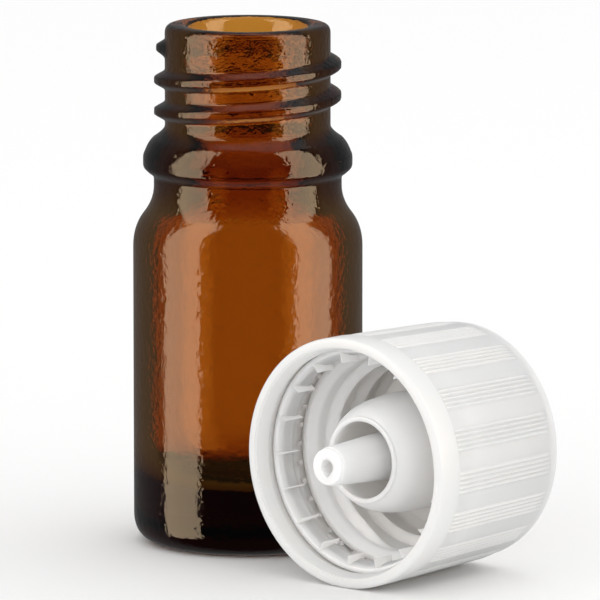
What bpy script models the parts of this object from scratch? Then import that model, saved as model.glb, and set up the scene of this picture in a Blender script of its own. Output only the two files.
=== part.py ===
"""Amber dropper bottle with its child-resistant dropper closure lying beside it.

Five separate pieces: the glass bottle, and a closure made of an outer shell, a tamper band,
a threaded inner cap and a dropper insert. Metres, +Z up. The origin is on the surface that
both stand on, under the middle of the whole set.
"""

import math

import bmesh
import bpy
from mathutils import Matrix, Vector

MM = 0.001

# ---------------------------------------------------------------- shared clearances
GAP = 0.3 * MM              # between pieces that rest against each other
RUNNING_GAP = 0.3 * MM      # between round pieces that slide or turn in each other
EMBED = 0.1 * MM            # how far a joined shape reaches into its wall
WELD = 0.001 * MM           # merge distance where an outline closes on itself

# ---------------------------------------------------------------- bottle
BOTTLE_HEIGHT = 50.0 * MM
BODY_RADIUS = 11.0 * MM
BODY_WALL = 1.9 * MM
HEEL_RADIUS = 2.8 * MM
FOOT_LAND = 1.2 * MM        # width of the flat ring that the bottle stands on
PUSH_UP = 0.9 * MM          # hollow under the base
BASE_THICKNESS = 4.6 * MM   # glass at the middle of the floor, above the hollow
FLOOR_RADIUS = 4.2 * MM     # inside corner between floor and wall

NECK_RADIUS = 7.93 * MM
BORE_RADIUS = 5.75 * MM
LIP_RADIUS = 0.85 * MM
THREAD_PITCH = 3.0 * MM
THREAD_HEIGHT = 1.03 * MM   # how far the glass thread stands out of the neck
THREAD_TURNS = 2.15
THREAD_START = 2.2 * MM     # from the rim down to the middle of the thread's upper end
THREAD_FOOT_TURN = math.radians(95)     # where the thread's lower end stands
BEAD_RADIUS = 10.03 * MM
BEAD_TOP = 9.9 * MM         # all measured down from the rim
BEAD_FLANK = 10.95 * MM
BEAD_EDGE_TOP = 12.8 * MM
BEAD_EDGE_BOTTOM = 13.4 * MM
BEAD_BOTTOM = 14.4 * MM
WAIST_RADIUS = 9.0 * MM
WAIST_BOTTOM = 15.5 * MM
SHOULDER_MIDDLE = 18.15 * MM
SHOULDER_MIDDLE_RADIUS = 9.95 * MM
SHOULDER_BOTTOM = 21.4 * MM

# ---------------------------------------------------------------- closure, sizes along its axis
# Every height is measured from the open mouth of the outer shell towards its closed end.
SHELL_LENGTH = 18.2 * MM
SHELL_RADIUS = 11.8 * MM
SHELL_WALL = 0.95 * MM
SHELL_CEILING = 0.9 * MM
SHELL_EDGE_RADIUS = 1.0 * MM
SHELL_DRAFT = 0.4 * MM      # how much smaller the radius is at the closed end
RIM_BAND = 2.8 * MM         # plain band round the mouth
RIB_END = 1.3 * MM          # from the end of the ribs to the closed end
RIB_GROUPS = 18
RIBS_IN_GROUP = 5
RIB_PITCH = math.radians(2.2)
RIB_TURN = math.radians(14.6)           # where the middle of the first group stands
RIB_HEIGHT = 0.2 * MM
SNAP_BEAD_HEIGHT = 0.4 * MM
SNAP_BEAD_AT = 1.5 * MM

RATCHET_TEETH = 12
RATCHET_HEIGHT = 0.8 * MM
RATCHET_WIDTH = 1.3 * MM
RATCHET_INNER = 6.4 * MM
RATCHET_OUTER = 9.4 * MM
RATCHET_GAP = 0.3 * MM

CAP_PLATE = 0.9 * MM
CAP_WALL = 1.25 * MM
CAP_SKIRT_AT = 6.3 * MM
CAP_CHAMFER = 0.8 * MM
CAP_RIDGE_RADIUS = 0.7 * MM
CAP_RIDGE_START = 8.1 * MM
CAP_RIDGE_TURNS = 1.75
SEAL_BOSS_RADIUS = 1.3 * MM
SEAL_BOSS_HEIGHT = 0.6 * MM

BAND_AT = 2.3 * MM
BAND_LENGTH = 3.0 * MM
BAND_WALL = 0.5 * MM
BAND_FLAPS = 18
FLAP_REACH = 0.45 * MM
FLAP_THICKNESS = 0.4 * MM
FLAP_SLOT = 0.3 * MM
FLAP_SLOT_TURN = math.radians(7.5)
BRIDGES = 36
BRIDGE_WIDTH = 0.4 * MM
BRIDGE_DEPTH = 0.35 * MM

FLANGE_RADIUS = 7.6 * MM
FLANGE_THICKNESS = 0.8 * MM
PLUG_LENGTH = 4.2 * MM      # straight sealing length under the flange
PLUG_END_RADIUS = 4.1 * MM
PLUG_END_AT = 2.6 * MM
PLUG_WALL = 0.9 * MM
PLUG_LIP = 0.5 * MM         # wall at the plug's open end
PLUG_FLARE = 1.4 * MM       # from the plug's end to the corner of its outer flare
PLUG_BORE_FLARE = 4.4 * MM  # from the plug's end to its full bore
TUBE_TIP_RADIUS = 1.7 * MM
TUBE_ROOT_RADIUS = 2.75 * MM
TIP_STEP = 0.12 * MM
TIP_LENGTH = 0.9 * MM
TIP_PROUD = 2.4 * MM        # how far the tip stands out of the mouth
CHANNEL_RADIUS = 0.72 * MM
SEAL_CUP_RADIUS = 1.9 * MM
SEAL_CUP_DEPTH = 0.45 * MM

# ---------------------------------------------------------------- where the closure lies
CLOSURE_BACK = 13.0 * MM    # from the bottle's axis back to the mouth of the closure
CLOSURE_GAP = 0.3 * MM      # between the bottle and the closure

# ---------------------------------------------------------------- resolution
BOTTLE_SIDES = 40
SHELL_SIDES = 36
CAP_SIDES = 40
BAND_SIDES = 48
INSERT_SIDES = 32
THREAD_POINTS_PER_TURN = 20

# ---------------------------------------------------------------- sizes that follow
shell_bore = SHELL_RADIUS - SHELL_WALL
shell_ceiling = SHELL_LENGTH - SHELL_CEILING
under_ribs = SHELL_RADIUS - 2 * RIB_HEIGHT
rib_ring_bore = under_ribs - EMBED
cap_top = shell_ceiling - RATCHET_HEIGHT - RATCHET_GAP - RATCHET_HEIGHT
cap_ceiling = cap_top - CAP_PLATE
cap_radius = shell_bore - RUNNING_GAP
cap_bore = cap_radius - CAP_WALL
flange_top = cap_ceiling - GAP
flange_seat = flange_top - FLANGE_THICKNESS
plug_radius = BORE_RADIUS - 0.5 * RUNNING_GAP
band_radius = shell_bore - 0.5 * RUNNING_GAP
closure_side = BODY_RADIUS + SHELL_RADIUS + CLOSURE_GAP

# The set's box, measured from the bottle's axis, puts the origin under the middle of the set.
lowest_x = min(-CLOSURE_BACK - TIP_PROUD, -BODY_RADIUS)
highest_x = max(-CLOSURE_BACK + SHELL_LENGTH, BODY_RADIUS)
lowest_y = -closure_side - SHELL_RADIUS
highest_y = BODY_RADIUS
bottle_foot = Vector((-0.5 * (lowest_x + highest_x), -0.5 * (lowest_y + highest_y), 0.0))
closure_mouth = bottle_foot + Vector((-CLOSURE_BACK, -closure_side, SHELL_RADIUS))
closure_edge = closure_mouth + Vector((SHELL_LENGTH, 0.0, -SHELL_RADIUS))  # it tips up on this


# ================================================================ helpers
def clear_scene():
    for item in list(bpy.data.objects):
        bpy.data.objects.remove(item, do_unlink=True)


def new_collection(name):
    collection = bpy.data.collections.new(name)
    bpy.context.scene.collection.children.link(collection)
    return collection


def plastic_or_glass(name, colour, roughness, transmission=0.0):
    material = bpy.data.materials.new(name)
    material.use_nodes = True
    shader = material.node_tree.nodes["Principled BSDF"]
    shader.inputs["Base Color"].default_value = (*colour, 1.0)
    shader.inputs["Roughness"].default_value = roughness
    shader.inputs["Metallic"].default_value = 0.0
    shader.inputs["Transmission Weight"].default_value = transmission
    return material


def bend(start, corner, end, steps=4):
    """Points of a smooth bend that leaves start and reaches end, turning at corner."""
    points = []
    for step in range(1, steps + 1):
        t = step / steps
        points.append(tuple(
            (1 - t) ** 2 * a + 2 * t * (1 - t) * b + t ** 2 * c
            for a, b, c in zip(start, corner, end)))
    return points


def turned(name, outline, sides, collection, closed=False):
    """A turned piece: outline holds (radius, height) points, down the outer side."""
    points = outline[:-1] if closed else outline
    mesh = bpy.data.meshes.new(name)
    edges = [(i, i + 1) for i in range(len(points) - 1)]
    if closed:
        edges.append((len(points) - 1, 0))
    mesh.from_pydata([(radius, 0.0, height) for radius, height in points], edges, [])
    piece = bpy.data.objects.new(name, mesh)
    collection.objects.link(piece)
    screw = piece.modifiers.new("turn", "SCREW")
    screw.axis = "Z"
    screw.angle = 2 * math.pi
    screw.steps = sides
    screw.render_steps = sides
    screw.use_merge_vertices = True
    screw.merge_threshold = WELD
    return piece


def as_mesh(piece, collection):
    """Replace a curve, or a piece with modifiers, by the plain mesh that it evaluates to."""
    bpy.context.view_layer.update()
    depsgraph = bpy.context.evaluated_depsgraph_get()
    mesh = bpy.data.meshes.new_from_object(piece.evaluated_get(depsgraph))
    solid = bpy.data.objects.new(piece.name + "_solid", mesh)
    solid.matrix_world = piece.matrix_world
    collection.objects.link(solid)
    bpy.data.objects.remove(piece, do_unlink=True)
    weld_mesh(mesh)
    return solid


def weld_mesh(mesh):
    work = bmesh.new()
    work.from_mesh(mesh)
    bmesh.ops.remove_doubles(work, verts=work.verts, dist=WELD)
    bmesh.ops.recalc_face_normals(work, faces=work.faces)
    work.to_mesh(mesh)
    work.free()


def helical_ridge(name, radius, first_height, pitch, turns, half_width, start_angle=0.0):
    """A round ridge along a helix, thinning out at both ends. It climbs counter-clockwise."""
    curve = bpy.data.curves.new(name, "CURVE")
    curve.dimensions = "3D"
    curve.bevel_depth = half_width
    curve.bevel_resolution = 2
    curve.use_fill_caps = True
    curve.render_resolution_u = 0
    count = round(turns * THREAD_POINTS_PER_TURN) + 1
    spline = curve.splines.new("POLY")
    spline.points.add(count - 1)
    for i, point in enumerate(spline.points):
        turn = i / THREAD_POINTS_PER_TURN
        angle = start_angle + 2 * math.pi * turn
        from_end = min(i, count - 1 - i)
        point.co = (radius * math.cos(angle), radius * math.sin(angle),
                    first_height + pitch * turn, 1.0)
        point.radius = min(1.0, 0.35 + 0.22 * from_end)
    ridge = bpy.data.objects.new(name, curve)
    cutters.objects.link(ridge)
    return as_mesh(ridge, cutters)


def block_ring(name, count, inner, outer, width, bottom, top, turn=0.0):
    """Equal blocks set round the axis, as one object for a Boolean."""
    work = bmesh.new()
    for i in range(count):
        angle = turn + 2 * math.pi * i / count
        size = Matrix.Diagonal((outer - inner, width, top - bottom, 1.0))
        place = Matrix.Translation((0.5 * (inner + outer), 0.0, 0.5 * (bottom + top)))
        bmesh.ops.create_cube(work, size=1.0, matrix=Matrix.Rotation(angle, 4, "Z") @ place @ size)
    mesh = bpy.data.meshes.new(name)
    work.to_mesh(mesh)
    work.free()
    ring = bpy.data.objects.new(name, mesh)
    cutters.objects.link(ring)
    return ring


def combine(piece, other, operation):
    modifier = piece.modifiers.new(other.name, "BOOLEAN")
    modifier.operation = operation
    modifier.solver = "EXACT"
    modifier.object = other
    other.hide_render = True
    other.display_type = "WIRE"


def place(piece, parent):
    piece.parent = parent
    for modifier in piece.modifiers:
        if modifier.type == "BOOLEAN":
            modifier.object.parent = parent


def finish(piece, material):
    piece.data.materials.append(material)
    if not piece.modifiers:
        piece.data.shade_smooth()


# ================================================================ the bottle
def bottle_outline():
    rim = BOTTLE_HEIGHT
    inner_wall = BODY_RADIUS - BODY_WALL
    floor = PUSH_UP + BASE_THICKNESS
    land_outer = BODY_RADIUS - HEEL_RADIUS
    land_inner = land_outer - FOOT_LAND
    shoulder_top = rim - SHOULDER_BOTTOM
    bore_bottom = rim - BEAD_BOTTOM

    outline = [(0.0, floor), (inner_wall - FLOOR_RADIUS, floor + 0.1 * FLOOR_RADIUS)]
    outline += bend(outline[-1], (inner_wall, floor + 0.15 * FLOOR_RADIUS),
                    (inner_wall, floor + 1.2 * FLOOR_RADIUS))
    outline.append((inner_wall, shoulder_top))
    middle = (0.5 * (inner_wall + BORE_RADIUS), 0.5 * (shoulder_top + bore_bottom))
    outline += bend(outline[-1], (inner_wall, 0.5 * (shoulder_top + middle[1])), middle, 3)
    outline += bend(middle, (BORE_RADIUS, 0.5 * (bore_bottom + middle[1])),
                    (BORE_RADIUS, bore_bottom), 3)
    outline.append((BORE_RADIUS, rim - LIP_RADIUS))
    outline += bend(outline[-1], (BORE_RADIUS, rim), (BORE_RADIUS + LIP_RADIUS, rim), 3)
    outline.append((NECK_RADIUS - LIP_RADIUS, rim))
    outline += bend(outline[-1], (NECK_RADIUS, rim), (NECK_RADIUS, rim - LIP_RADIUS), 3)

    # transfer bead under the thread
    outline.append((NECK_RADIUS, rim - BEAD_TOP))
    flank = (NECK_RADIUS + 0.55 * (BEAD_RADIUS - NECK_RADIUS), rim - BEAD_FLANK)
    outline.append(flank)
    outline += bend(flank, (BEAD_RADIUS, rim - 0.5 * (BEAD_FLANK + BEAD_EDGE_TOP)),
                    (BEAD_RADIUS, rim - BEAD_EDGE_TOP))
    outline.append((BEAD_RADIUS, rim - BEAD_EDGE_BOTTOM))
    outline += bend(outline[-1], (BEAD_RADIUS, rim - BEAD_BOTTOM),
                    (WAIST_RADIUS, rim - BEAD_BOTTOM), 3)

    # waist, shoulder and body
    outline.append((WAIST_RADIUS, rim - WAIST_BOTTOM))
    turn_point = (SHOULDER_MIDDLE_RADIUS, rim - SHOULDER_MIDDLE)
    outline += bend(outline[-1], (WAIST_RADIUS, rim - WAIST_BOTTOM - 1.4 * MM), turn_point)
    outline += bend(turn_point, (BODY_RADIUS, rim - SHOULDER_MIDDLE - 1.3 * MM),
                    (BODY_RADIUS, shoulder_top))
    outline.append((BODY_RADIUS, HEEL_RADIUS))
    outline += bend(outline[-1], (BODY_RADIUS, 0.0), (land_outer, 0.0), 5)
    outline.append((land_inner, 0.0))
    outline += bend(outline[-1], (0.6 * land_inner, PUSH_UP), (0.0, PUSH_UP), 3)
    return outline


def make_bottle(parent):
    bottle = turned("bottle", bottle_outline(), BOTTLE_SIDES, parts)
    lowest_turn = BOTTLE_HEIGHT - THREAD_START - THREAD_PITCH * THREAD_TURNS
    thread = helical_ridge("glass_thread", NECK_RADIUS, lowest_turn, THREAD_PITCH, THREAD_TURNS,
                           THREAD_HEIGHT, THREAD_FOOT_TURN)
    combine(bottle, thread, "UNION")
    finish(bottle, plastic_or_glass("amber_glass", (0.33, 0.11, 0.008), 0.05, 0.9))
    place(bottle, parent)
    return bottle


# ================================================================ the closure
def drafted(radius, depth):
    """A radius of the outer shell after its draft, at a depth from the mouth."""
    return radius * (1.0 - SHELL_DRAFT * depth / SHELL_LENGTH / SHELL_RADIUS)


def rib_outline():
    """Points round the ribbed wall: groups of ribs with plain stretches between them."""
    crest = SHELL_RADIUS
    root = SHELL_RADIUS - RIB_HEIGHT
    points = []
    for group in range(RIB_GROUPS):
        middle = RIB_TURN + 2 * math.pi * group / RIB_GROUPS
        for rib in range(RIBS_IN_GROUP):
            angle = middle + (rib - 0.5 * (RIBS_IN_GROUP - 1)) * RIB_PITCH
            points.append((root, angle - 0.5 * RIB_PITCH))
            points.append((crest, angle))
        points.append((root, middle + 0.5 * RIBS_IN_GROUP * RIB_PITCH))
    return [(r * math.cos(a), r * math.sin(a)) for r, a in points]


def ring_outline(radius):
    steps = [2 * math.pi * (i + 0.5) / SHELL_SIDES for i in range(SHELL_SIDES)]
    return [(radius * math.cos(a), radius * math.sin(a)) for a in steps]


def make_ribs(bottom, top):
    """The ribbed wall as a ring that the turned wall inside it carries."""
    curve = bpy.data.curves.new("shell_ribs", "CURVE")
    curve.dimensions = "2D"
    curve.fill_mode = "BOTH"
    curve.extrude = 0.5 * (top - bottom)
    curve.render_resolution_u = 0
    for outline in (rib_outline(), ring_outline(rib_ring_bore)):
        spline = curve.splines.new("POLY")
        spline.points.add(len(outline) - 1)
        for point, (x, y) in zip(spline.points, outline):
            point.co = (x, y, 0.0, 1.0)
        spline.use_cyclic_u = True
    ribs = bpy.data.objects.new("shell_ribs", curve)
    cutters.objects.link(ribs)
    solid = as_mesh(ribs, cutters)
    for vertex in solid.data.vertices:
        vertex.co.z += 0.5 * (top + bottom)
        smaller = drafted(1.0, vertex.co.z)
        vertex.co.x *= smaller
        vertex.co.y *= smaller
    return solid


def make_outer_shell(parent):
    rib_top = SHELL_LENGTH - RIB_END
    end_radius = SHELL_RADIUS - SHELL_DRAFT - 0.5 * RIB_HEIGHT
    crest = shell_bore - SNAP_BEAD_HEIGHT
    outline = [(0.0, SHELL_LENGTH), (end_radius - SHELL_EDGE_RADIUS, SHELL_LENGTH)]
    outline += bend(outline[-1], (end_radius, SHELL_LENGTH),
                    (end_radius, SHELL_LENGTH - SHELL_EDGE_RADIUS))
    wall_top = rib_top - EMBED
    outline += [(end_radius, wall_top), (drafted(under_ribs, wall_top), wall_top)]
    outline += [(drafted(under_ribs, RIM_BAND), RIM_BAND), (SHELL_RADIUS, RIM_BAND)]
    outline += [(SHELL_RADIUS, 0.3 * MM), (SHELL_RADIUS - 0.3 * MM, 0.0)]
    outline += [(shell_bore, 0.0), (crest, SNAP_BEAD_AT)]
    outline += [(shell_bore, SNAP_BEAD_AT + 0.45 * MM), (shell_bore, shell_ceiling)]
    outline.append((0.0, shell_ceiling))
    shell = turned("outer_shell", outline, SHELL_SIDES, parts)
    combine(shell, make_ribs(RIM_BAND - EMBED, rib_top), "UNION")
    teeth = block_ring("shell_teeth", RATCHET_TEETH, RATCHET_INNER, RATCHET_OUTER, RATCHET_WIDTH,
                       shell_ceiling - RATCHET_HEIGHT, shell_ceiling + EMBED,
                       math.pi / RATCHET_TEETH)
    combine(shell, teeth, "UNION")
    finish(shell, plastic_or_glass("white_polypropylene", (0.82, 0.82, 0.81), 0.38))
    place(shell, parent)
    return shell


def make_inner_cap(parent):
    outline = [(0.0, cap_top), (cap_radius - 0.4 * MM, cap_top), (cap_radius, cap_top - 0.4 * MM)]
    outline += [(cap_radius, CAP_SKIRT_AT), (cap_bore + 0.5 * CAP_WALL, CAP_SKIRT_AT)]
    outline += [(cap_bore, CAP_SKIRT_AT + CAP_CHAMFER), (cap_bore, cap_ceiling)]
    outline += [(SEAL_BOSS_RADIUS, cap_ceiling)]
    outline += [(SEAL_BOSS_RADIUS - 0.3 * MM, cap_ceiling - SEAL_BOSS_HEIGHT)]
    outline += [(0.0, cap_ceiling - SEAL_BOSS_HEIGHT)]
    cap = turned("inner_cap", outline, CAP_SIDES, parts)
    teeth = block_ring("cap_teeth", RATCHET_TEETH, RATCHET_INNER, RATCHET_OUTER, RATCHET_WIDTH,
                       cap_top - EMBED, cap_top + RATCHET_HEIGHT)
    combine(cap, teeth, "UNION")
    ridge = helical_ridge("cap_thread", cap_bore - 0.25 * MM, CAP_RIDGE_START, THREAD_PITCH,
                          CAP_RIDGE_TURNS, CAP_RIDGE_RADIUS, math.radians(200))
    combine(cap, ridge, "UNION")
    finish(cap, plastic_or_glass("white_polyethylene", (0.78, 0.78, 0.76), 0.42))
    place(cap, parent)
    return cap


def make_tamper_band(parent):
    inner = band_radius - BAND_WALL
    top = BAND_AT + BAND_LENGTH
    tip = inner - FLAP_REACH
    outline = [(inner, top), (band_radius, top), (band_radius, BAND_AT), (inner, BAND_AT)]
    outline += [(tip, BAND_AT + 0.55 * BAND_LENGTH)]
    outline += [(tip + 0.1 * MM, BAND_AT + 0.55 * BAND_LENGTH + FLAP_THICKNESS)]
    outline += [(inner, BAND_AT + 2 * FLAP_THICKNESS), (inner, top)]
    band = turned("tamper_band", outline, BAND_SIDES, parts, closed=True)
    slots = block_ring("flap_slots", BAND_FLAPS, tip - 0.5 * MM, inner - 0.05 * MM, FLAP_SLOT,
                       BAND_AT - 0.2 * MM, top + 0.2 * MM, FLAP_SLOT_TURN)
    combine(band, slots, "DIFFERENCE")
    bridges = block_ring("band_bridges", BRIDGES, inner + 0.05 * MM, inner + BRIDGE_DEPTH,
                         BRIDGE_WIDTH, top - EMBED, CAP_SKIRT_AT - GAP)
    combine(band, bridges, "UNION")
    finish(band, plastic_or_glass("white_polyethylene_band", (0.74, 0.74, 0.72), 0.45))
    place(band, parent)
    return band


def make_dropper_insert(parent):
    web = flange_seat
    plug_bottom = flange_seat - PLUG_LENGTH
    plug_inner = plug_radius - PLUG_WALL
    tip_end = -TIP_PROUD
    outline = [(CHANNEL_RADIUS, flange_top - SEAL_CUP_DEPTH),
               (SEAL_CUP_RADIUS, flange_top - SEAL_CUP_DEPTH), (SEAL_CUP_RADIUS, flange_top)]
    outline += [(FLANGE_RADIUS, flange_top), (FLANGE_RADIUS, flange_seat)]
    outline += [(plug_radius, flange_seat), (plug_radius, plug_bottom)]
    outline += bend(outline[-1], (plug_radius, PLUG_END_AT + PLUG_FLARE),
                    (PLUG_END_RADIUS, PLUG_END_AT + 0.3 * MM))
    outline += [(PLUG_END_RADIUS, PLUG_END_AT), (PLUG_END_RADIUS - PLUG_LIP, PLUG_END_AT)]
    outline += [(plug_inner, PLUG_END_AT + PLUG_BORE_FLARE), (plug_inner, web - 0.4 * MM)]
    outline.append((plug_inner - 0.4 * MM, web))
    outline += [(TUBE_ROOT_RADIUS, web), (TUBE_TIP_RADIUS + TIP_STEP, tip_end + TIP_LENGTH)]
    outline += [(TUBE_TIP_RADIUS, tip_end + TIP_LENGTH), (TUBE_TIP_RADIUS, tip_end)]
    outline += [(CHANNEL_RADIUS, tip_end), (CHANNEL_RADIUS, flange_top - SEAL_CUP_DEPTH)]
    insert = turned("dropper_insert", outline, INSERT_SIDES, parts, closed=True)
    finish(insert, plastic_or_glass("natural_polyethylene", (0.80, 0.80, 0.78), 0.35))
    place(insert, parent)
    return insert


# ================================================================ where the pieces stand
def empty(name, matrix):
    marker = bpy.data.objects.new(name, None)
    marker.empty_display_size = 5 * MM
    marker.matrix_world = matrix
    parts.objects.link(marker)
    return marker


clear_scene()
parts = new_collection("dropper_bottle")
cutters = new_collection("cutters")

bottle_place = empty("bottle_place", Matrix.Translation(bottle_foot))
stand_matrix = Matrix.Translation(closure_edge)
stand_place = empty("closure_stand", stand_matrix)
lying = Matrix.Rotation(math.radians(90), 4, "Y")
mouth_place = empty("closure_axis", Matrix.Translation(closure_mouth) @ lying)
mouth_place.parent = stand_place
mouth_place.matrix_parent_inverse = stand_matrix.inverted()

make_bottle(bottle_place)
make_outer_shell(mouth_place)
make_inner_cap(mouth_place)
make_tamper_band(mouth_place)
make_dropper_insert(mouth_place)
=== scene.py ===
"""Amber dropper bottle with its child-resistant dropper closure: the fine surfaces and finishes.

Every piece stands for one moulding of the real object and takes its place from the frame.
"""

import math

import bmesh
import bpy
from mathutils import Matrix, Vector


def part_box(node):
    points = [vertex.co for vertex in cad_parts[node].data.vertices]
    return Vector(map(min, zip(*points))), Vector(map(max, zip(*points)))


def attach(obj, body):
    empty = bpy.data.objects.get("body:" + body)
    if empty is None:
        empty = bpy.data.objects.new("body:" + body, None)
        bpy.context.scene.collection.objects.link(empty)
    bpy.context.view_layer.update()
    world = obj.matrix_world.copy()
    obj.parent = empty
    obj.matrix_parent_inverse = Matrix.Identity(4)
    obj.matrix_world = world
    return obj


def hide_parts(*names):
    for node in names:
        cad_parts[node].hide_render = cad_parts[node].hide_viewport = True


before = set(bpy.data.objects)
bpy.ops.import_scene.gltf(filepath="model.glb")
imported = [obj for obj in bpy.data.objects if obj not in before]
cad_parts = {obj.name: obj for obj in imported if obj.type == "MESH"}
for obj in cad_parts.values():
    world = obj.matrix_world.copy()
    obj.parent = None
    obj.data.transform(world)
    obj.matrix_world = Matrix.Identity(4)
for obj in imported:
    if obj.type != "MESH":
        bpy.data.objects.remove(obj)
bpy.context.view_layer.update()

bl_info = {
    "name": "Dropper Bottle",
    "version": (1, 0, 0),
    "blender": (4, 5, 0),
    "location": "View3D > Sidebar > Dropper Bottle",
    "description": "Builds an amber dropper bottle and its child-resistant closure",
    "category": "Add Mesh",
}

MM = 0.001
WELD = 0.0005 * MM
PIECES = "dropper_bottle"
INSIDE = "inside_closure"
INSIDE_NODES = ("inner_cap", "tamper_band", "dropper_insert")

# ---------------------------------------------------------------- fixed sizes of the mouldings
# Bottle: depths below its rim, from the thread down to the shoulder.
THREAD_START = 2.2 * MM     # middle of the thread's upper end
THREAD_LOW = 10.5 * MM      # no thread below this
THREAD_HIGH = 0.9 * MM      # nor above this
NECK_END = 9.7 * MM
BEAD_FLANK = 10.95 * MM
BEAD_CREASE = 12.3 * MM
BEAD_EDGE = 13.4 * MM
BEAD_FOOT = 14.2 * MM
BORE_END = 14.4 * MM
WAIST_END = 15.5 * MM
SHOULDER_TURN = 18.15 * MM
SHOULDER_TURN_RADIUS = 9.95 * MM
SHOULDER_END = 21.4 * MM
THREAD_TURNS = 2.15
THREAD_TURN = math.radians(95)      # where the thread's lower end stands
THREAD_FOOT = 0.95 * MM             # half the thread's width at its foot
THREAD_CREST = 0.28 * MM            # half its width at its crest

# Closure: heights from its mouth towards its closed end.
RIB_GROUPS = 18
RIBS_FROM_MIDDLE = 2.5              # half of the ribs in a group
RIB_PITCH = math.radians(2.2)
RIB_TURN = math.radians(14.6)       # middle of the first group
SHELL_SIDES = 1080
SNAP_BEAD_AT = 1.5 * MM
TEETH = 12
TOOTH_INNER = 6.4 * MM
TOOTH_OUTER = 9.4 * MM
TOOTH_WIDTH = 1.3 * MM
EMBED = 0.1 * MM                    # how far a tooth or a bridge reaches into its wall
CAP_GAP = 0.3 * MM                  # between the shell and the inner cap
CAP_PLATE = 0.9 * MM
CAP_CHAMFER = 0.8 * MM
CAP_THREAD_START = 8.1 * MM
CAP_THREAD_TURNS = 1.8
CAP_THREAD_HEIGHT = 0.95 * MM
CAP_THREAD_FOOT = 0.6 * MM
CAP_THREAD_CREST = 0.12 * MM
BOSS_RADIUS = 1.3 * MM
BOSS_TIP = 1.0 * MM
BOSS_HEIGHT = 0.6 * MM
BAND_GAP = 0.15 * MM                # between the shell and the tamper band
BAND_LENGTH = 3.0 * MM
BAND_WALL = 0.5 * MM
FLAPS = 18
FLAP_KNEE = 1.65 * MM               # from the band's end to the flap's tip
FLAP_TURN = math.radians(7.5)       # where the first slot between flaps stands
FLAP_SLOT = 0.08 * MM
BRIDGES = 36
BRIDGE_WIDTH = 0.4 * MM
FLANGE_RADIUS = 7.6 * MM
FLANGE = 0.8 * MM
PLUG_GAP = 0.15 * MM                # between the plug and the bottle's bore
PLUG_WALL = 0.9 * MM
PLUG_LENGTH = 4.2 * MM
PLUG_END = 2.6 * MM
TUBE_ROOT = 2.75 * MM
CUP_RADIUS = 1.9 * MM
CUP_DEPTH = 0.45 * MM
CHANNEL_RADIUS = 0.72 * MM
TIP_STEP = 0.12 * MM                # how much wider the tube is behind its tip
TIP_STEP_AT = 0.55 * MM


# ---------------------------------------------------------------- where the frame puts things
def frame_axis_foot():
    """Middle of the bottle's foot."""
    low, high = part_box("bottle")
    return Vector((0.5 * (low.x + high.x), 0.5 * (low.y + high.y), low.z))


def frame_closure_mouth():
    """Middle of the lying closure's open mouth."""
    low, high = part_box("outer_shell")
    return Vector((low.x, 0.5 * (low.y + high.y), 0.5 * (low.z + high.z)))


def frame_length(node, axis):
    low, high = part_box(node)
    return high[axis] - low[axis]


def frame_depth(node, end):
    """Distance of one end of a closure piece from the mouth; end is 0 for the near one, 1 far."""
    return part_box(node)[end].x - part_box("outer_shell")[0].x


# ---------------------------------------------------------------- sizes and colours to change
def size(name, value, description):
    return bpy.props.FloatProperty(
        name=name, default=value, description=description, unit="LENGTH", subtype="DISTANCE",
        precision=5)


def colour(name, value, description):
    return bpy.props.StringProperty(name=name, default=value, description=description)


class BottleSizes(bpy.types.PropertyGroup):
    """Sizes of the glass bottle, heights measured down from its rim."""
    body_radius: size("Body radius", 0.5 * frame_length("bottle", 0), "Outside of the body")
    height: size("Height", frame_length("bottle", 2), "From the foot to the rim")
    wall: size("Wall", 1.9 * MM, "Glass thickness of the body")
    heel: size("Heel radius", 2.8 * MM, "Outer corner at the foot")
    land: size("Foot land", 1.2 * MM, "Flat ring that the bottle stands on")
    push_up: size("Push-up", 0.9 * MM, "Hollow under the base")
    base: size("Base", 4.6 * MM, "Glass at the middle of the floor")
    floor_corner: size("Floor corner", 4.2 * MM, "Inside corner of the floor")
    neck: size("Neck radius", 7.93 * MM, "Outside of the neck between threads")
    bore: size("Bore radius", 5.75 * MM, "Inside of the neck")
    lip: size("Lip radius", 0.85 * MM, "Rounding of the rim")
    pitch: size("Thread pitch", 3.0 * MM, "Rise of the thread in one turn")
    thread: size("Thread height", 1.03 * MM, "How far the thread stands out")
    bead: size("Bead radius", 10.03 * MM, "Ring under the thread")
    waist: size("Waist radius", 9.0 * MM, "Under the bead")


class ClosureSizes(bpy.types.PropertyGroup):
    """Sizes of the closure, heights measured from its mouth towards its closed end."""
    radius: size("Shell radius", 0.5 * frame_length("outer_shell", 1), "Over the rim band")
    length: size("Shell length", frame_length("outer_shell", 0), "From mouth to closed end")
    wall: size("Shell wall", 0.95 * MM, "Wall of the outer shell")
    ceiling: size("Shell ceiling", 0.9 * MM, "Closed end of the outer shell")
    draft: size("Draft", 0.4 * MM, "How much the radius shrinks towards the closed end")
    rim_band: size("Rim band", 2.8 * MM, "Plain band round the mouth")
    rib_end: size("Rib end", 1.3 * MM, "From the ribs to the closed end")
    rib_height: size("Rib height", 0.2 * MM, "How far a rib stands out")
    snap_bead: size("Snap bead", 0.4 * MM, "Ring inside the mouth that holds the inner pieces")
    cap_wall: size("Cap wall", 1.25 * MM, "Wall of the inner cap")
    tooth: size("Ratchet tooth", 0.8 * MM, "Height of the ratchet teeth")
    flap: size("Flap reach", 0.45 * MM, "How far the tamper flaps stand in")
    tip: size("Dropper tip radius", 1.7 * MM, "Outside of the dropper's tip")
    plug_end: size("Plug end radius", 4.1 * MM, "Outside of the plug's open end")


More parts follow.
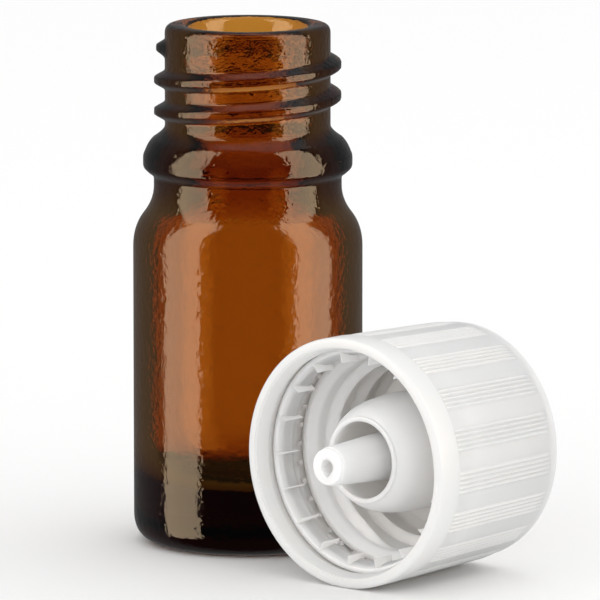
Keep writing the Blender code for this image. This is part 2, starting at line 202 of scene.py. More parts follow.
class Colours(bpy.types.PropertyGroup):
    """Colours as sRGB hex values."""
    glass: colour("Glass", "EAC983", "Tint of the amber glass at its surface")
    glass_depth: colour("Glass depth", "E0BC00", "Light that the glass lets through its depth")
    shell: colour("Outer shell", "F0F0EF", "White polypropylene")
    cap: colour("Inner cap", "F4F4F4", "White polyethylene")
    dropper: colour("Dropper", "EEEEEE", "Natural polyethylene")
    floor: colour("Floor", "FCFCFC", "Pale studio floor")


def linear(hex_value):
    """An sRGB hex colour as linear red, green, blue and alpha."""
    channels = []
    for start in (0, 2, 4):
        value = int(hex_value[start:start + 2], 16) / 255
        channels.append(value / 12.92 if value <= 0.04045 else ((value + 0.055) / 1.055) ** 2.4)
    return (*channels, 1.0)


# ---------------------------------------------------------------- shaping
def bend(start, corner, end, steps=8):
    """Points of a smooth bend that leaves start and reaches end, turning at corner."""
    points = []
    for step in range(1, steps + 1):
        t = step / steps
        points.append(tuple((1 - t) ** 2 * a + 2 * t * (1 - t) * b + t ** 2 * c
                            for a, b, c in zip(start, corner, end)))
    return points


def rounded(corners, closed=False):
    """An outline of (radius, height, rounding) corners, each corner turned by its rounding."""
    outline = []
    count = len(corners)
    for i, (radius, height, rounding) in enumerate(corners):
        here = Vector((radius, height))
        if rounding == 0 or (not closed and i in (0, count - 1)):
            outline.append((radius, height))
            continue
        before = Vector(corners[i - 1][:2]) - here
        after = Vector(corners[(i + 1) % count][:2]) - here
        start = here + before.normalized() * min(rounding, 0.5 * before.length)
        end = here + after.normalized() * min(rounding, 0.5 * after.length)
        outline.append(tuple(start))
        outline += bend(tuple(start), tuple(here), tuple(end), 4)
    return outline


def refined(outline, spacing, low=-1.0, high=1.0, closed=False):
    """The outline with extra points where it lies between the heights low and high."""
    points = []
    pairs = list(zip(outline, outline[1:] + outline[:1]))
    for a, b in pairs if closed else pairs[:-1]:
        points.append(a)
        length = math.dist(a, b)
        inside = low <= min(a[1], b[1]) and max(a[1], b[1]) <= high
        steps = math.ceil(length / spacing) if inside else 1
        points += [tuple(p + (q - p) * i / steps for p, q in zip(a, b)) for i in range(1, steps)]
    if not closed:
        points.append(outline[-1])
    return points


def spun(outline, sides, closed=False):
    """A turned shape about Z as a bmesh, from (radius, height) points."""
    work = bmesh.new()
    points = [work.verts.new((radius, 0.0, height)) for radius, height in outline]
    edges = [work.edges.new(pair) for pair in zip(points, points[1:])]
    if closed:
        edges.append(work.edges.new((points[-1], points[0])))
    bmesh.ops.spin(work, geom=points + edges, axis=(0, 0, 1), cent=(0, 0, 0), angle=2 * math.pi,
                   steps=sides, use_merge=True)
    bmesh.ops.remove_doubles(work, verts=work.verts, dist=WELD)
    bmesh.ops.recalc_face_normals(work, faces=work.faces)
    return work


def spun_in_sectors(outline, sides, sectors):
    """A full turned shape with very many sides, made as one sector and its turned copies."""
    work = bmesh.new()
    points = [work.verts.new((radius, 0.0, height)) for radius, height in outline]
    edges = [work.edges.new(pair) for pair in zip(points, points[1:])]
    turn = 2 * math.pi / sectors
    bmesh.ops.spin(work, geom=points + edges, axis=(0, 0, 1), cent=(0, 0, 0), angle=turn,
                   steps=sides // sectors)
    sector = work.verts[:] + work.edges[:] + work.faces[:]
    for i in range(1, sectors):
        made = bmesh.ops.duplicate(work, geom=sector)
        copied = [item for item in made["geom"] if isinstance(item, bmesh.types.BMVert)]
        bmesh.ops.rotate(work, verts=copied, cent=(0, 0, 0),
                         matrix=Matrix.Rotation(turn * i, 3, "Z"))
    bmesh.ops.remove_doubles(work, verts=work.verts, dist=WELD)
    bmesh.ops.recalc_face_normals(work, faces=work.faces)
    return work


def add_blocks(work, count, inner, outer, width, bottom, top, turn=0.0):
    """Equal blocks set round the axis, each a closed body let into its neighbour."""
    for i in range(count):
        scale = Matrix.Diagonal((outer - inner, width, top - bottom, 1.0))
        move = Matrix.Translation((0.5 * (inner + outer), 0.0, 0.5 * (bottom + top)))
        around = Matrix.Rotation(turn + 2 * math.pi * i / count, 4, "Z")
        bmesh.ops.create_cube(work, size=1.0, matrix=around @ move @ scale)


def piece_from(name, work, place, sharp=40):
    """A bmesh in its own frame becomes an object whose place is in its mesh."""
    bmesh.ops.transform(work, matrix=place, verts=work.verts)
    mesh = bpy.data.meshes.new(name)
    work.to_mesh(mesh)
    work.free()
    mesh.shade_smooth()
    mesh.set_sharp_from_angle(angle=math.radians(sharp))
    piece = bpy.data.objects.new(name, mesh)
    collection = bpy.data.collections.get(PIECES)
    if collection is None:
        collection = bpy.data.collections.new(PIECES)
        bpy.context.scene.collection.children.link(collection)
    collection.objects.link(piece)
    return piece


def cut(piece, work, place, sharp=40):
    """Cuts a bmesh out of a piece and keeps only the finished mesh."""
    tool = piece_from("cutter", work, place)
    modifier = piece.modifiers.new("cut", "BOOLEAN")
    modifier.operation = "DIFFERENCE"
    modifier.solver = "EXACT"
    modifier.object = tool
    bpy.context.view_layer.update()
    finished = bpy.data.meshes.new_from_object(
        piece.evaluated_get(bpy.context.evaluated_depsgraph_get()))
    piece.modifiers.clear()
    finished.name = piece.name
    piece.data = finished
    finished.shade_smooth()
    finished.set_sharp_from_angle(angle=math.radians(sharp))
    bpy.data.objects.remove(tool, do_unlink=True)


def move_out(vert, distance):
    """Moves a vertex straight out from the axis, or in where distance is negative."""
    scale = 1 + distance / math.hypot(vert.co.x, vert.co.y)
    vert.co.x *= scale
    vert.co.y *= scale


def smooth_step(value, low, high):
    t = min(1.0, max(0.0, (value - low) / (high - low)))
    return t * t * (3 - 2 * t)


def thread_rise(angle, height, first, pitch, turns, foot, crest):
    """How much of the thread's full height stands at a point of a cylinder.

    first is the height of the thread's middle at angle 0, foot and crest are half its widths.
    """
    rise = 0.0
    for lap in range(math.ceil(turns) + 1):
        along = angle / (2 * math.pi) + lap
        if along > turns:
            break
        fade = smooth_step(min(along, turns - along), 0.0, 0.09)
        away = abs(height - first - pitch * along)
        flank = min(1.0, max(0.0, (foot - away) / (foot - crest)))
        rise = max(rise, fade * (0.6 * flank + 0.4 * (1 - smooth_step(away, crest, foot))))
    return rise


def place_of_bottle():
    return Matrix.Translation(frame_axis_foot())


def place_of_closure():
    """The closure's own axis is Z from mouth to closed end; here it lies along +X."""
    return Matrix.Translation(frame_closure_mouth()) @ Matrix.Rotation(math.radians(90), 4, "Y")


# ---------------------------------------------------------------- materials
def node(tree, kind, inputs=(), links=(), **settings):
    """Adds a node, sets its properties and sockets, and links what feeds it."""
    item = tree.nodes.new(kind)
    for name, value in settings.items():
        setattr(item, name, value)
    for socket, value in dict(inputs).items():
        item.inputs[socket].default_value = value
    for socket, source in dict(links).items():
        tree.links.new(source, item.inputs[socket])
    return item


def new_material(name):
    material = bpy.data.materials.new(name)
    material.use_nodes = True
    tree = material.node_tree
    tree.nodes.clear()
    output = tree.nodes.new("ShaderNodeOutputMaterial")
    place = tree.nodes.new("ShaderNodeTexCoord")
    return material, tree, output, place.outputs["Object"]


def millimetres(length):
    """Noise scale that makes features about this long, for object coordinates in metres."""
    return 1.0 / (length * MM)


def amber_glass(colours):
    """Blown amber soda-lime glass. It is clear and glossy, goes almost black where it is thick,
    and its skin has the faint ripple that a cooler iron mould leaves."""
    material, tree, output, place = new_material("blown_amber_glass")
    ripple = node(tree, "ShaderNodeTexNoise", {"Scale": millimetres(0.6), "Detail": 2.0,
                                               "Roughness": 0.5}, {"Vector": place})
    sway = node(tree, "ShaderNodeTexNoise", {"Scale": millimetres(5.0), "Detail": 1.0},
                {"Vector": place})
    height = node(tree, "ShaderNodeSeparateXYZ", (), {"Vector": place})
    neck = node(tree, "ShaderNodeMapRange", {"From Min": 39.0 * MM, "From Max": 42.0 * MM,
                                             "To Min": 1.0, "To Max": 1.5},
                {"Value": height.outputs["Z"]})
    rough = node(tree, "ShaderNodeMath", (), {0: ripple.outputs["Fac"],
                                              1: neck.outputs["Result"]}, operation="MULTIPLY")
    fine = node(tree, "ShaderNodeBump", {"Strength": 1.0, "Distance": 0.045 * MM},
                {"Height": rough.outputs["Value"]})
    broad = node(tree, "ShaderNodeBump", {"Strength": 1.0, "Distance": 0.06 * MM},
                 {"Height": sway.outputs["Fac"], "Normal": fine.outputs["Normal"]})
    shader = node(tree, "ShaderNodeBsdfPrincipled", {
        "Base Color": linear(colours.glass), "Roughness": 0.012, "IOR": 1.52,
        "Transmission Weight": 1.0}, {"Normal": broad.outputs["Normal"]})
    depth = node(tree, "ShaderNodeVolumeAbsorption", {
        "Color": linear(colours.glass_depth), "Density": 1020.0})
    tree.links.new(shader.outputs["BSDF"], output.inputs["Surface"])
    tree.links.new(depth.outputs["Volume"], output.inputs["Volume"])
    return material


def moulded_plastic(name, hex_value, roughness, grain, grain_depth, glow, glow_radius, ior=1.49):
    """Moulded polyolefin. The skin has a fine eroded-steel texture that softens its highlights,
    slow swirls in gloss from the melt's flow, and light bleeds a little way through it."""
    material, tree, output, place = new_material(name)
    texture = node(tree, "ShaderNodeTexNoise", {"Scale": millimetres(grain), "Detail": 3.0,
                                                "Roughness": 0.6}, {"Vector": place})
    flow = node(tree, "ShaderNodeTexNoise", {"Scale": millimetres(7.0), "Detail": 3.0,
                                             "Distortion": 1.2}, {"Vector": place})
    gloss = node(tree, "ShaderNodeMapRange", {"To Min": roughness - 0.05,
                                              "To Max": roughness + 0.07},
                 {"Value": flow.outputs["Fac"]})
    bump = node(tree, "ShaderNodeBump", {"Strength": 1.0, "Distance": grain_depth * MM},
                {"Height": texture.outputs["Fac"]})
    shader = node(tree, "ShaderNodeBsdfPrincipled", {
        "Base Color": linear(hex_value), "IOR": ior, "Subsurface Weight": glow,
        "Subsurface Radius": (1.0, 0.97, 0.94), "Subsurface Scale": glow_radius * MM},
        {"Roughness": gloss.outputs["Result"], "Normal": bump.outputs["Normal"]})
    tree.links.new(shader.outputs["BSDF"], output.inputs["Surface"])
    return material


def finish(piece, material, body, replaced):
    """Gives a finished piece its material and its body, and hides the frame node that it stands
    for.

    Pieces stay out of each other's mirror images, so the glass shows clean softboxes, and those
    inside the closure are lit by their own lamp.
    """
    piece.visible_glossy = False
    if replaced in INSIDE_NODES:
        bpy.data.collections[INSIDE].objects.link(piece)
    piece.data.materials.clear()
    piece.data.materials.append(material)
    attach(piece, body)
    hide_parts(replaced)


# ---------------------------------------------------------------- the bottle
def bottle_outline(sizes):
    """From the middle of the floor up the inside, over the rim and down the outside."""
    rim = sizes.height
    inner = sizes.body_radius - sizes.wall
    floor = sizes.push_up + sizes.base
    land_outer = sizes.body_radius - sizes.heel
    land_inner = land_outer - sizes.land
    shoulder = rim - SHOULDER_END
    bore_end = rim - BORE_END
    middle = (0.5 * (inner + sizes.bore), 0.5 * (shoulder + bore_end))

    corner = sizes.floor_corner
    outline = [(0.0, floor), (inner - corner, floor + 0.1 * corner)]
    outline += bend(outline[-1], (inner, floor + 0.15 * corner), (inner, floor + 1.2 * corner), 12)
    outline.append((inner, shoulder))
    outline += bend(outline[-1], (inner, 0.5 * (shoulder + middle[1])), middle, 10)
    outline += bend(middle, (sizes.bore, 0.5 * (bore_end + middle[1])), (sizes.bore, bore_end), 10)
    outline.append((sizes.bore, rim - sizes.lip))
    outline += bend(outline[-1], (sizes.bore, rim), (sizes.bore + sizes.lip, rim), 8)
    outline.append((sizes.neck - sizes.lip, rim))
    outline += bend(outline[-1], (sizes.neck, rim), (sizes.neck, rim - sizes.lip), 8)

    bead_rise = sizes.bead - sizes.neck
    outline.append((sizes.neck, rim - NECK_END))
    flank = (sizes.neck + 0.55 * bead_rise, rim - BEAD_FLANK)
    outline += bend(outline[-1], (sizes.neck, rim - NECK_END - 0.5 * MM), flank, 8)
    crease = (sizes.bead - 0.13 * MM, rim - BEAD_CREASE)
    outline += bend(flank, (sizes.bead - 0.45 * MM, rim - BEAD_FLANK - 0.45 * MM), crease, 8)
    outline += bend(crease, (sizes.bead, rim - BEAD_CREASE - 0.2 * MM),
                    (sizes.bead, rim - BEAD_EDGE + 0.5 * MM), 4)
    outline.append((sizes.bead, rim - BEAD_EDGE))
    outline += bend(outline[-1], (sizes.bead, rim - BEAD_EDGE - 0.35 * MM),
                    (sizes.bead - 0.25 * MM, rim - BEAD_FOOT + 0.25 * MM), 4)
    outline.append((0.5 * (sizes.waist + sizes.bead), rim - BEAD_FOOT))
    outline += bend(outline[-1], (sizes.waist, rim - BEAD_FOOT - 0.3 * MM),
                    (sizes.waist, rim - BEAD_FOOT - 0.6 * MM), 6)
    outline.append((sizes.waist, rim - WAIST_END))
    turn_point = (SHOULDER_TURN_RADIUS, rim - SHOULDER_TURN)
    outline += bend(outline[-1], (sizes.waist, rim - WAIST_END - 1.4 * MM), turn_point, 14)
    outline += bend(turn_point, (sizes.body_radius, rim - SHOULDER_TURN - 1.3 * MM),
                    (sizes.body_radius, shoulder), 14)
    outline.append((sizes.body_radius, sizes.heel))
    outline += bend(outline[-1], (sizes.body_radius, 0.0), (land_outer, 0.0), 14)
    outline.append((land_inner, 0.0))
    outline += bend(outline[-1], (0.6 * land_inner, sizes.push_up), (0.0, sizes.push_up), 10)
    return outline


def raise_glass_thread(work, sizes):
    """Pushes the neck's surface out into the thread: a flat crest between two soft flanks."""
    rim = sizes.height
    first = rim - THREAD_START - sizes.pitch * THREAD_TURNS
    for vert in work.verts:
        radius = math.hypot(vert.co.x, vert.co.y)
        on_neck = sizes.neck - 0.01 * MM < radius < sizes.neck + 0.6 * sizes.thread
        if not on_neck or not rim - THREAD_LOW < vert.co.z < rim - THREAD_HIGH:
            continue
        angle = (math.atan2(vert.co.y, vert.co.x) - THREAD_TURN) % (2 * math.pi)
        rise = thread_rise(angle, vert.co.z, first, sizes.pitch, THREAD_TURNS, THREAD_FOOT,
                           THREAD_CREST)
        move_out(vert, max(0.0, sizes.neck + rise * sizes.thread - radius))


class BottleMaker(bpy.types.Operator):
    """Blown glass bottle with its screw neck, transfer bead, shoulder and pushed-up base"""
    bl_idname = "dropper_bottle.bottle"
    bl_label = "Glass Bottle"

    def execute(self, context):
        sizes = context.scene.bottle_sizes
        outline = refined(bottle_outline(sizes), 0.14 * MM, sizes.height - 10.9 * MM,
                          sizes.height - 0.8 * MM)
        work = spun(refined(outline, 2.5 * MM), 192)
        raise_glass_thread(work, sizes)
        bottle = piece_from("glass_bottle", work, place_of_bottle(), sharp=60)
        finish(bottle, amber_glass(context.scene.bottle_colours), "bottle", "bottle")
        return {"FINISHED"}


# ---------------------------------------------------------------- the closure
def raise_ribs(work, sizes):
    """Groups of five ribs along the outer wall, which fade out at both ends."""
    low = sizes.rim_band
    high = sizes.length - sizes.rib_end
    group_turn = 2 * math.pi / RIB_GROUPS
    for vert in work.verts:
        radius = math.hypot(vert.co.x, vert.co.y)
        height = vert.co.z
        if radius < sizes.radius - 1.2 * sizes.draft - 2 * sizes.rib_height:
            continue
        if not low < height < high:
            continue
        angle = math.atan2(vert.co.y, vert.co.x) - RIB_TURN
        angle = (angle + 0.5 * group_turn) % group_turn - 0.5 * group_turn
        across = abs(angle) / RIB_PITCH
        wave = 0.0
        if across < RIBS_FROM_MIDDLE:
            wave = 0.5 + 0.5 * math.cos(2 * math.pi * across)
        fade = smooth_step(height, low, low + 0.35 * MM)
        fade *= 1 - smooth_step(height, high - 0.5 * MM, high)
        move_out(vert, sizes.rib_height * wave * fade)


class ShellMaker(bpy.types.Operator):
    """Outer shell of the closure, with rib groups outside and ratchet teeth under its ceiling"""
    bl_idname = "dropper_bottle.shell"
    bl_label = "Outer Shell"

    def execute(self, context):
        sizes = context.scene.closure_sizes
        bore = sizes.radius - sizes.wall
        crest = bore - sizes.snap_bead
        root = sizes.radius - sizes.rib_height
        end = root - sizes.draft
        ceiling = sizes.length - sizes.ceiling
        corners = [
            (0.0, sizes.length, 0), (end, sizes.length, 1.1 * MM),
            (end, sizes.length - sizes.rib_end, 0.2 * MM),
            (root, sizes.rim_band + 0.15 * MM, 0.1 * MM),
            (sizes.radius, sizes.rim_band, 0.12 * MM),
            (sizes.radius, 0.0, 0.35 * MM), (bore + 0.12 * MM, 0.0, 0.06 * MM),
            (bore + 0.12 * MM, 0.12 * MM, 0), (bore, 0.12 * MM, 0.05 * MM),
            (crest, SNAP_BEAD_AT, 0.25 * MM), (bore, SNAP_BEAD_AT + 0.45 * MM, 0.2 * MM),
            (bore, ceiling, 0.3 * MM), (0.0, ceiling, 0)]
        outline = refined(rounded(corners), 1.2 * MM, sizes.rim_band, ceiling)
        work = spun_in_sectors(outline, SHELL_SIDES, RIB_GROUPS)
        raise_ribs(work, sizes)
        add_blocks(work, TEETH, TOOTH_INNER, TOOTH_OUTER, TOOTH_WIDTH, ceiling - sizes.tooth,
                   ceiling + EMBED, math.pi / TEETH)
        shell = piece_from("closure_shell", work, place_of_closure(), sharp=70)
        colours = context.scene.bottle_colours
        finish(shell, moulded_plastic("moulded_polypropylene", colours.shell, 0.36, 0.22, 0.001,
                                      1.0, 1.2), "outer_shell", "outer_shell")
        return {"FINISHED"}


def press_cap_thread(work, bore, pitch):
    """Draws the inner wall inwards into the cap's thread."""
    for vert in work.verts:
        radius = math.hypot(vert.co.x, vert.co.y)
        if abs(radius - bore) > 0.01 * MM:
            continue
        angle = math.atan2(vert.co.y, vert.co.x) % (2 * math.pi)
        rise = thread_rise(angle, vert.co.z, CAP_THREAD_START, pitch, CAP_THREAD_TURNS,
                           CAP_THREAD_FOOT, CAP_THREAD_CREST)
        move_out(vert, -rise * CAP_THREAD_HEIGHT)


class InnerCapMaker(bpy.types.Operator):
    """Threaded inner cap with ratchet teeth on its top and a seal boss under it"""
    bl_idname = "dropper_bottle.inner_cap"
    bl_label = "Inner Cap"

    def execute(self, context):
        sizes = context.scene.closure_sizes
        pitch = context.scene.bottle_sizes.pitch
        skirt = frame_depth("inner_cap", 0)
        top = frame_depth("inner_cap", 1) - sizes.tooth
        ceiling = top - CAP_PLATE
        radius = sizes.radius - sizes.wall - CAP_GAP
        bore = radius - sizes.cap_wall
        corners = [
            (0.0, top, 0), (radius, top, 0.4 * MM), (radius, skirt, 0.2 * MM),
            (bore + 0.5 * sizes.cap_wall, skirt, 0.12 * MM),
            (bore, skirt + CAP_CHAMFER, 0.3 * MM), (bore, ceiling, 0.3 * MM),
            (BOSS_RADIUS, ceiling, 0.15 * MM), (BOSS_TIP, ceiling - BOSS_HEIGHT, 0.15 * MM),
            (0.0, ceiling - BOSS_HEIGHT, 0)]
        work = spun(refined(rounded(corners), 0.13 * MM, skirt + CAP_CHAMFER + 0.1 * MM, ceiling),
                    128)
        press_cap_thread(work, bore, pitch)
        add_blocks(work, TEETH, TOOTH_INNER, TOOTH_OUTER, TOOTH_WIDTH, top - EMBED,
                   top + sizes.tooth)
        cap = piece_from("threaded_cap", work, place_of_closure())
        colours = context.scene.bottle_colours
        finish(cap, moulded_plastic("moulded_polyethylene", colours.cap, 0.42, 0.3, 0.001,
                                    1.0, 2.0, 1.51), "inner_cap", "inner_cap")
        return {"FINISHED"}


def bend_flaps(work, root):
    """Leaves each flap bent in by its own small amount, as they come out of the mould."""
    for vert in work.verts:
        radius = math.hypot(vert.co.x, vert.co.y)
        if radius > root:
            continue
        angle = (math.atan2(vert.co.y, vert.co.x) - FLAP_TURN) % (2 * math.pi)
        flap = int(angle * FLAPS / (2 * math.pi))
        move_out(vert, (root - radius) * 0.15 * math.sin(2.4 * flap))


class TamperBandMaker(bpy.types.Operator):
    """Tamper band with its inward flaps and the small bridges that break"""
    bl_idname = "dropper_bottle.band"
    bl_label = "Tamper Band"

    def execute(self, context):
        sizes = context.scene.closure_sizes
        low = frame_depth("tamper_band", 0)
        bridge_top = frame_depth("tamper_band", 1)
        high = low + BAND_LENGTH
        radius = sizes.radius - sizes.wall - BAND_GAP
        inner = radius - BAND_WALL
        tip = inner - sizes.flap
        knee = low + FLAP_KNEE
        corners = [
            (inner, high, 0.1 * MM), (radius, high, 0.15 * MM), (radius, low, 0.15 * MM),
            (inner, low, 0.15 * MM), (tip, knee, 0.12 * MM),
            (tip + 0.1 * MM, knee + 0.4 * MM, 0.12 * MM), (inner, low + 0.8 * MM, 0.1 * MM)]
        work = spun(rounded(corners, closed=True), 216, closed=True)
        bend_flaps(work, inner - 0.1 * MM)
        add_blocks(work, BRIDGES, inner + 0.05 * MM, inner + 0.35 * MM, BRIDGE_WIDTH,
                   high - EMBED, bridge_top)
        band = piece_from("tamper_ring", work, place_of_closure())
        slots = bmesh.new()
        add_blocks(slots, FLAPS, tip - 0.5 * MM, inner - 0.05 * MM, FLAP_SLOT,
                   low - 0.2 * MM, knee + 0.6 * MM, FLAP_TURN)
        cut(band, slots, place_of_closure())
        colours = context.scene.bottle_colours
        finish(band, moulded_plastic("moulded_polyethylene_band", colours.cap, 0.45, 0.3, 0.001,
                                     1.0, 2.0, 1.51), "tamper_band", "tamper_band")
        return {"FINISHED"}


def notch_channel(work, notch):
    """Draws the channel out into a narrow notch on its lower side, so it drips evenly."""
    for vert in work.verts:
        radius = math.hypot(vert.co.x, vert.co.y)
        if abs(radius - CHANNEL_RADIUS) > 0.01 * MM:
            continue
        away = abs(math.atan2(vert.co.y, vert.co.x))
        move_out(vert, notch * max(0.0, 1 - away / 0.75) ** 1.2)


class DropperMaker(bpy.types.Operator):
    """Dropper insert: flange, plug and the central tube with its notched channel"""
    bl_idname = "dropper_bottle.dropper"
    bl_label = "Dropper Insert"

    def execute(self, context):
        sizes = context.scene.closure_sizes
        tip_end = frame_depth("dropper_insert", 0)
        top = frame_depth("dropper_insert", 1)
        seat = top - FLANGE
        plug = context.scene.bottle_sizes.bore - PLUG_GAP
        inner = plug - PLUG_WALL
        step_at = tip_end + TIP_STEP_AT
        cup_floor = top - CUP_DEPTH
        near_plug = rounded([
            (CUP_RADIUS, cup_floor, 0), (CUP_RADIUS, top, 0.1 * MM),
            (FLANGE_RADIUS, top, 0.15 * MM), (FLANGE_RADIUS, seat, 0.15 * MM),
            (plug, seat, 0.15 * MM), (plug, seat - PLUG_LENGTH, 0)])
        flare_end = (sizes.plug_end, PLUG_END + 0.3 * MM)
        flare = bend(near_plug[-1], (plug, PLUG_END + 1.4 * MM), flare_end, 16)
        inside = rounded([
            flare_end + (0,), (sizes.plug_end, PLUG_END, 0.12 * MM),
            (sizes.plug_end - 0.5 * MM, PLUG_END, 0.2 * MM),
            (inner, PLUG_END + 4.4 * MM, 2.0 * MM),
            (inner, seat, 0.6 * MM), (TUBE_ROOT, seat, 0.3 * MM),
            (sizes.tip + TIP_STEP, step_at, 0.12 * MM),
            (sizes.tip + 0.03 * MM, step_at, 0.03 * MM),
            (sizes.tip, tip_end, 0.14 * MM), (CHANNEL_RADIUS, tip_end, 0)])
        outline = [(CHANNEL_RADIUS, cup_floor)] + near_plug + flare + inside[1:]
        work = spun(refined(outline, 1.2 * MM, closed=True), 96, closed=True)
        notch_channel(work, 0.3 * MM)
        insert = piece_from("dropper_plug", work, place_of_closure())
        colours = context.scene.bottle_colours
        finish(insert, moulded_plastic("natural_polyethylene", colours.dropper, 0.4, 0.3, 0.001,
                                       1.0, 2.5, 1.51), "dropper_insert", "dropper_insert")
        return {"FINISHED"}


# ---------------------------------------------------------------- the stage
def soft_box(name, centre, aim, width, height, radiance, only_reflected=False, only_matt=False):
    """A rectangular studio light that faces the point aim.

    Flags keep it off matt surfaces, or out of reflections, glass and the camera's sight.
    """
    light = bpy.data.lights.new(name, "AREA")
    light.shape = "RECTANGLE"
    light.size = width
    light.size_y = height
    light.energy = radiance * math.pi * width * height
    lamp = bpy.data.objects.new(name, light)
    lamp.location = centre
    lamp.rotation_euler = (aim - centre).to_track_quat("-Z", "Y").to_euler()
    lamp.visible_diffuse = not only_reflected
    lamp.visible_glossy = not only_matt
    lamp.visible_transmission = not only_matt
    lamp.visible_camera = not only_matt
    bpy.context.scene.collection.objects.link(lamp)
    return lamp


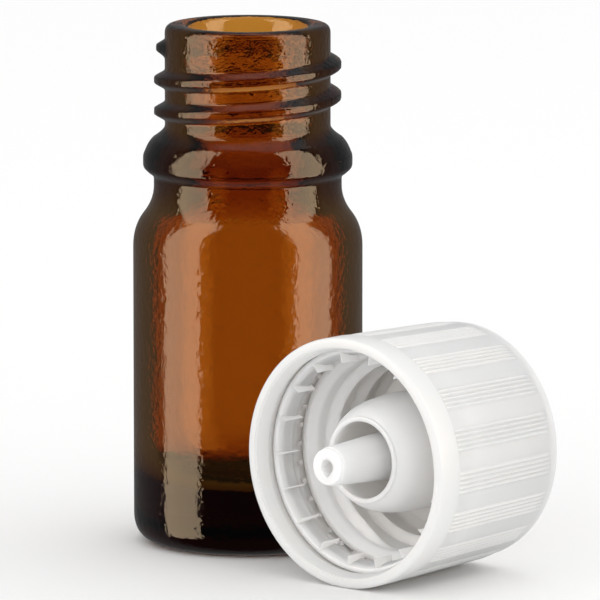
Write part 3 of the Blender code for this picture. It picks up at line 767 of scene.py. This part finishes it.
class StageMaker(bpy.types.Operator):
    """Pale floor, soft studio light and the camera"""
    bl_idname = "dropper_bottle.stage"
    bl_label = "Stage"

    azimuth: bpy.props.FloatProperty(
        name="Azimuth", default=math.radians(-49.3), subtype="ANGLE",
        description="Side that the camera looks from; 0 looks along +Y")
    elevation: bpy.props.FloatProperty(
        name="Elevation", default=math.radians(9.0), subtype="ANGLE",
        description="Height of the camera above the horizon")
    distance: bpy.props.FloatProperty(
        name="Distance", default=0.75, unit="LENGTH", description="From the bottle's axis")
    view_height: bpy.props.FloatProperty(
        name="View height", default=57.6 * MM, unit="LENGTH",
        description="Height of the view at the bottle")

    def execute(self, context):
        scene = context.scene
        colours = scene.bottle_colours
        foot = frame_axis_foot()
        turn = Matrix.Rotation(self.azimuth, 4, "Z")
        toward = turn @ Vector((0, -math.cos(self.elevation), math.sin(self.elevation)))
        right = turn @ Vector((1, 0, 0))
        aim = foot + right * 5.0 * MM + Vector((0, 0, 23.3 * MM))

        camera = bpy.data.objects.new("camera", bpy.data.cameras.new("camera"))
        camera.location = aim + toward * self.distance
        camera.rotation_euler = (-toward).to_track_quat("-Z", "Y").to_euler()
        camera.data.sensor_fit = "VERTICAL"
        camera.data.angle = 2 * math.atan(0.5 * self.view_height / self.distance)
        scene.collection.objects.link(camera)
        scene.camera = camera

        bpy.ops.mesh.primitive_plane_add(size=6.0)
        floor = context.active_object
        floor.name = "floor"
        floor.data.materials.append(self.floor_material(colours))
        floor.visible_glossy = False

        middle = foot + Vector((0, 0, 25.0 * MM))
        ahead = Vector((toward.x, toward.y, 0)).normalized()
        lift = Vector((0, 0, 0.2))
        for side in (-1, 1):
            around = math.radians(70) * side
            centre = middle + 0.3 * (ahead * math.cos(around) + right * math.sin(around))
            lamp = soft_box("strip_softbox", centre + lift, middle + lift, 0.232, 0.85, 4.2,
                            only_reflected=True)
            lamp.data.color = (1.0, 0.76, 0.5)
        soft_box("overhead_softbox", middle - ahead * 0.15 + right * 0.1 + Vector((0, 0, 0.6)),
                 middle, 0.5, 0.5, 0.3)
        mouth = frame_closure_mouth()
        lamp = soft_box("mouth_softbox", mouth + Vector((-0.25, -0.05, 0.05)), mouth, 0.35, 0.35,
                        1.25, only_matt=True)
        lamp.light_linking.receiver_collection = bpy.data.collections.new(INSIDE)
        self.light_room(scene, -ahead)
        return {"FINISHED"}

    def floor_material(self, colours):
        """Matt paper sweep: even and pale, with a faint tooth."""
        material, tree, output, place = new_material("matt_paper")
        tooth = node(tree, "ShaderNodeTexNoise", {"Scale": millimetres(0.8)}, {"Vector": place})
        bump = node(tree, "ShaderNodeBump", {"Distance": 0.01 * MM},
                    {"Height": tooth.outputs["Fac"]})
        shader = node(tree, "ShaderNodeBsdfPrincipled", {
            "Base Color": linear(colours.floor), "Roughness": 0.9,
            "Specular IOR Level": 0.1}, {"Normal": bump.outputs["Normal"]})
        tree.links.new(shader.outputs["BSDF"], output.inputs["Surface"])
        return material

    def light_room(self, scene, behind):
        """White room, which glossy surfaces mirror only dimly: its back wall glows a little and
        its front is as dark as black flags make it. Diffuse and camera rays see it white."""
        world = bpy.data.worlds.new("white_room")
        world.use_nodes = True
        tree = world.node_tree
        tree.nodes.clear()
        path = node(tree, "ShaderNodeLightPath")
        mirrored = node(tree, "ShaderNodeMath", operation="SUBTRACT")
        tree.links.new(path.outputs["Is Glossy Ray"], mirrored.inputs[0])
        tree.links.new(path.outputs["Is Transmission Ray"], mirrored.inputs[1])
        place = node(tree, "ShaderNodeTexCoord")
        toward_back = node(tree, "ShaderNodeVectorMath", {1: behind},
                           {0: place.outputs["Generated"]}, operation="DOT_PRODUCT")
        walls = node(tree, "ShaderNodeMapRange", {"From Min": 0.0, "From Max": 0.25,
                                                  "To Min": 0.03, "To Max": 0.15},
                     {"Value": toward_back.outputs["Value"]})
        strength = node(tree, "ShaderNodeMix", {"A": 1.0},
                        {"Factor": mirrored.outputs["Value"], "B": walls.outputs["Result"]})
        room = node(tree, "ShaderNodeBackground", {"Color": (1.0, 1.0, 1.0, 1.0)},
                    {"Strength": strength.outputs["Result"]})
        output = node(tree, "ShaderNodeOutputWorld")
        tree.links.new(room.outputs["Background"], output.inputs["Surface"])
        scene.world = world
        scene.view_settings.view_transform = "Standard"


# ---------------------------------------------------------------- the add-on
class DropperBottlePanel(bpy.types.Panel):
    """Lists the operators and the sizes and colours that they read"""
    bl_idname = "VIEW3D_PT_dropper_bottle"
    bl_label = "Dropper Bottle"
    bl_space_type = "VIEW_3D"
    bl_region_type = "UI"
    bl_category = "Dropper Bottle"

    def draw(self, context):
        for maker in MAKERS:
            self.layout.operator(maker.bl_idname)
        for name in GROUPS:
            group = getattr(context.scene, name)
            column = self.layout.column(align=True)
            for field in group.bl_rna.properties.keys():
                if field not in ("rna_type", "name"):
                    column.prop(group, field)


MAKERS = (StageMaker, BottleMaker, ShellMaker, InnerCapMaker, TamperBandMaker, DropperMaker)
GROUPS = {"bottle_sizes": BottleSizes, "closure_sizes": ClosureSizes, "bottle_colours": Colours}
CLASSES = (*GROUPS.values(), *MAKERS, DropperBottlePanel)


def register():
    for item in CLASSES:
        bpy.utils.register_class(item)
    for name, group in GROUPS.items():
        setattr(bpy.types.Scene, name, bpy.props.PointerProperty(type=group))


def unregister():
    for name in GROUPS:
        delattr(bpy.types.Scene, name)
    for item in reversed(CLASSES):
        bpy.utils.unregister_class(item)


def main():
    register()
    bpy.ops.dropper_bottle.stage()
    bpy.ops.dropper_bottle.bottle()
    bpy.ops.dropper_bottle.shell()
    bpy.ops.dropper_bottle.inner_cap()
    bpy.ops.dropper_bottle.band()
    bpy.ops.dropper_bottle.dropper()


if __name__ == "__main__":
    main()
